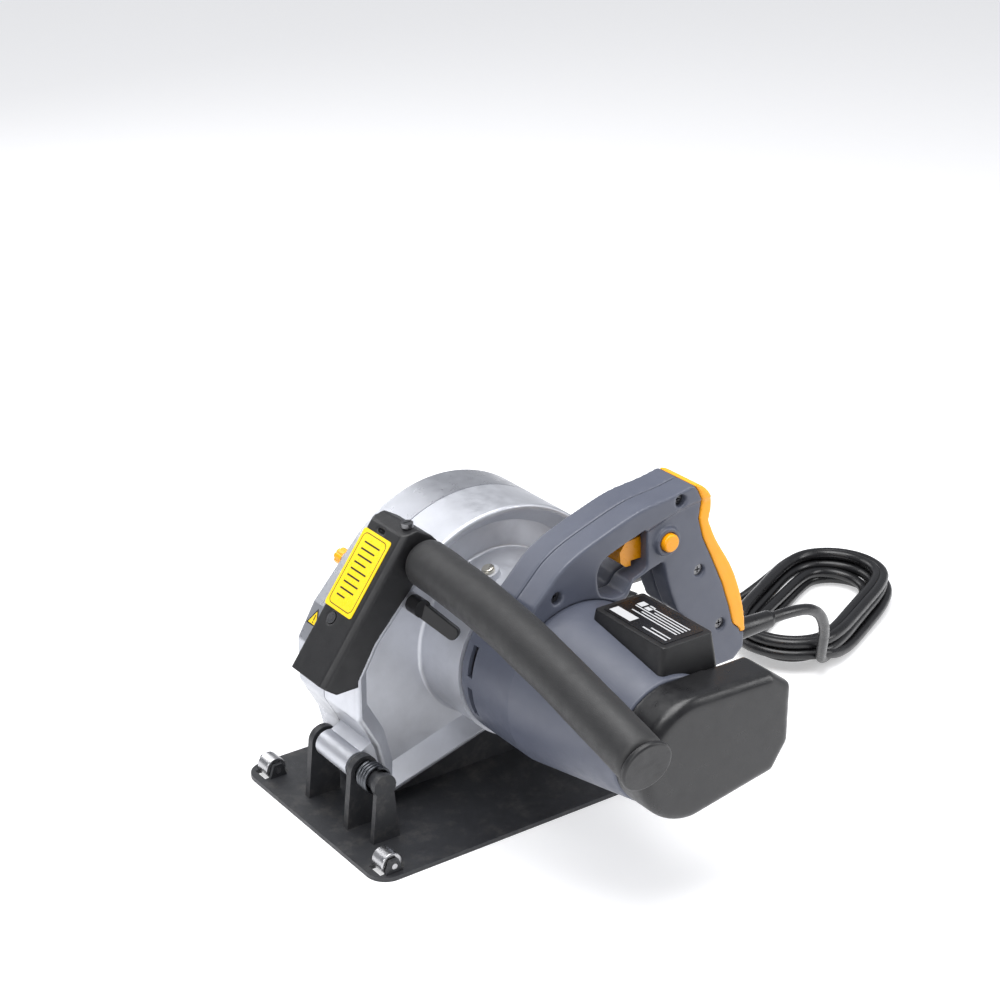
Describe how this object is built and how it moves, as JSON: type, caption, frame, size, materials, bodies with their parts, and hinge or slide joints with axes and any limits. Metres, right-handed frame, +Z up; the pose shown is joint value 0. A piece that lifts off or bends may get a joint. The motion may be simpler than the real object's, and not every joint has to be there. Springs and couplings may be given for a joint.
{
  "type": "wall chaser",
  "caption": "Twin-disc masonry wall chaser with a cast disc guard, sprung sole, transverse motor, closed D handle, foam front bar and mains cord.",
  "frame": {"origin": "on the sole's underside, straight below the motor shaft, in the plane of the guard's near rim", "axes": "+X forward along the cut, +Y towards the tail of the motor, +Z up"},
  "size_m": [0.5484, 0.4258, 0.2129],
  "materials": {
    "cast_aluminium": "satin silver paint on a casting",
    "bare_aluminium": "machined",
    "black_plastic": "fine-grained, satin",
    "zinc_steel": "zinc plated",
    "sole_steel": "black powder coat",
    "bare_steel": "turned",
    "spring_steel": "oiled",
    "disc_steel": "ground core, sintered rim",
    "bearing_steel": "polished",
    "lamination_steel": "stacked sheet",
    "copper_wire": "enamelled",
    "copper_bars": "turned",
    "brass": "satin",
    "carbon": "sintered",
    "slate_plastic": "fine-grained, satin",
    "plate_foil": "printed foil",
    "orange_grip": "soft overmould",
    "orange_plastic": "moulded",
    "yellow_foil": "printed foil",
    "foam": "closed-cell foam",
    "black_rubber": "smooth"
  },
  "bodies": {
    "power_head": {"armature_bearings": "bearing_steel", "bar_plug": "black_plastic", "bearing_plate": "bare_aluminium", "bracket_screws": "zinc_steel", "brush_holders": "brass", "carbon_brushes": "carbon", "case_screws": "zinc_steel", "cord_hank": "black_rubber", "cord_runs": "black_rubber", "cover_screws": "zinc_steel", "dust_port": "black_plastic", "electronics_box": "black_plastic", "end_cap": "black_plastic", "field_coils": "copper_wire", "field_core": "lamination_steel", "foam_sleeve": "foam", "front_bracket": "black_plastic", "gear_case": "cast_aluminium", "guard_cover": "cast_aluminium", "handle_bar": "bare_steel", "handle_far": "slate_plastic", "handle_near": "slate_plastic", "handle_screws": "zinc_steel", "motor_housing": "slate_plastic", "plug": "black_rubber", "plug_pins": "brass", "rating_plate": "plate_foil", "soft_grip": "orange_grip", "spindle_bearings": "bearing_steel", "strain_relief": "black_rubber", "switch_module": "black_plastic", "warning_label": "yellow_foil"},
    "shoe": {"shoe": "sole_steel", "roller_pins": "bare_steel", "pivot_pin": "bare_steel", "pivot_circlips": "spring_steel", "return_spring": "spring_steel"},
    "roller_front_far": {"roller_front_far": "bare_steel"},
    "roller_front_near": {"roller_front_near": "bare_steel"},
    "roller_rear_far": {"roller_rear_far": "bare_steel"},
    "roller_rear_near": {"roller_rear_near": "bare_steel"},
    "spindle": {"disc_near": "disc_steel", "disc_far": "disc_steel", "spindle": "bare_steel", "disc_spacers": "bare_steel", "outer_flange": "bare_steel", "spindle_nut": "zinc_steel", "spindle_gear": "bare_steel"},
    "armature": {"motor_pinion": "bare_steel", "motor_shaft": "bare_steel", "cooling_fan": "black_plastic", "armature_core": "lamination_steel", "armature_windings": "copper_wire", "commutator": "copper_bars"},
    "trigger": {"trigger": "orange_plastic"},
    "lock_button": {"lock_button": "orange_plastic"},
    "spindle_lock": {"spindle_lock": "black_plastic"},
    "clamp": {"clamp_lever": "black_plastic", "cross_bolt": "bare_steel"},
    "clamp_knob": {"clamp_knob": "orange_plastic"}
  },
  "joints": [
    {"name": "plunge", "type": "hinge", "parent": "power_head", "child": "shoe", "pos_m": [0.112, 0, 0.042], "axis": [0, 1, 0], "range_deg": [0, 16.5], "stiffness_Nm_per_rad": 18, "springref_deg": -42.97},
    {"name": "disc_spin", "type": "hinge", "parent": "power_head", "child": "spindle", "pos_m": [0, -0.04, 0.078], "axis": [0, 1, 0], "continuous": true},
    {"name": "armature_spin", "type": "hinge", "parent": "power_head", "child": "armature", "pos_m": [0, 0.1, 0.102], "axis": [0, 1, 0], "continuous": true},
    {"name": "trigger_pull", "type": "slide", "parent": "power_head", "child": "trigger", "axis": [-1, 0, 0], "range_m": [0, 0.006], "stiffness_N_per_m": 900, "springref_m": -0.004},
    {"name": "lock_button_press", "type": "slide", "parent": "power_head", "child": "lock_button", "axis": [0, -1, 0], "range_m": [0, 0.003], "stiffness_N_per_m": 800, "springref_m": -0.003},
    {"name": "spindle_lock_press", "type": "slide", "parent": "power_head", "child": "spindle_lock", "axis": [-0.342, 0, -0.9397], "range_m": [0, 0.004], "stiffness_N_per_m": 900, "springref_m": -0.004},
    {"name": "clamp_swing", "type": "hinge", "parent": "power_head", "child": "clamp", "pos_m": [0.071, 0.008, 0.147], "axis": [0, 1, 0], "range_deg": [-70, 0]},
    {"name": "clamp_knob_turn", "type": "hinge", "parent": "power_head", "child": "clamp_knob", "pos_m": [0.071, -0.079, 0.147], "axis": [0, 1, 0], "continuous": true},
    {"name": "roller_front_far_roll", "type": "hinge", "parent": "shoe", "child": "roller_front_far", "pos_m": [0.128, -0.085, 0.0076], "axis": [0, 1, 0], "continuous": true},
    {"name": "roller_front_near_roll", "type": "hinge", "parent": "shoe", "child": "roller_front_near", "pos_m": [0.128, 0.056, 0.0076], "axis": [0, 1, 0], "continuous": true},
    {"name": "roller_rear_far_roll", "type": "hinge", "parent": "shoe", "child": "roller_rear_far", "pos_m": [-0.09, -0.085, 0.0076], "axis": [0, 1, 0], "continuous": true},
    {"name": "roller_rear_near_roll", "type": "hinge", "parent": "shoe", "child": "roller_rear_near", "pos_m": [-0.09, 0.056, 0.0076], "axis": [0, 1, 0], "continuous": true}
  ],
  "couplings": [
    {"joint": "armature_spin", "follows": "disc_spin", "ratio": -2.3333}
  ]
}
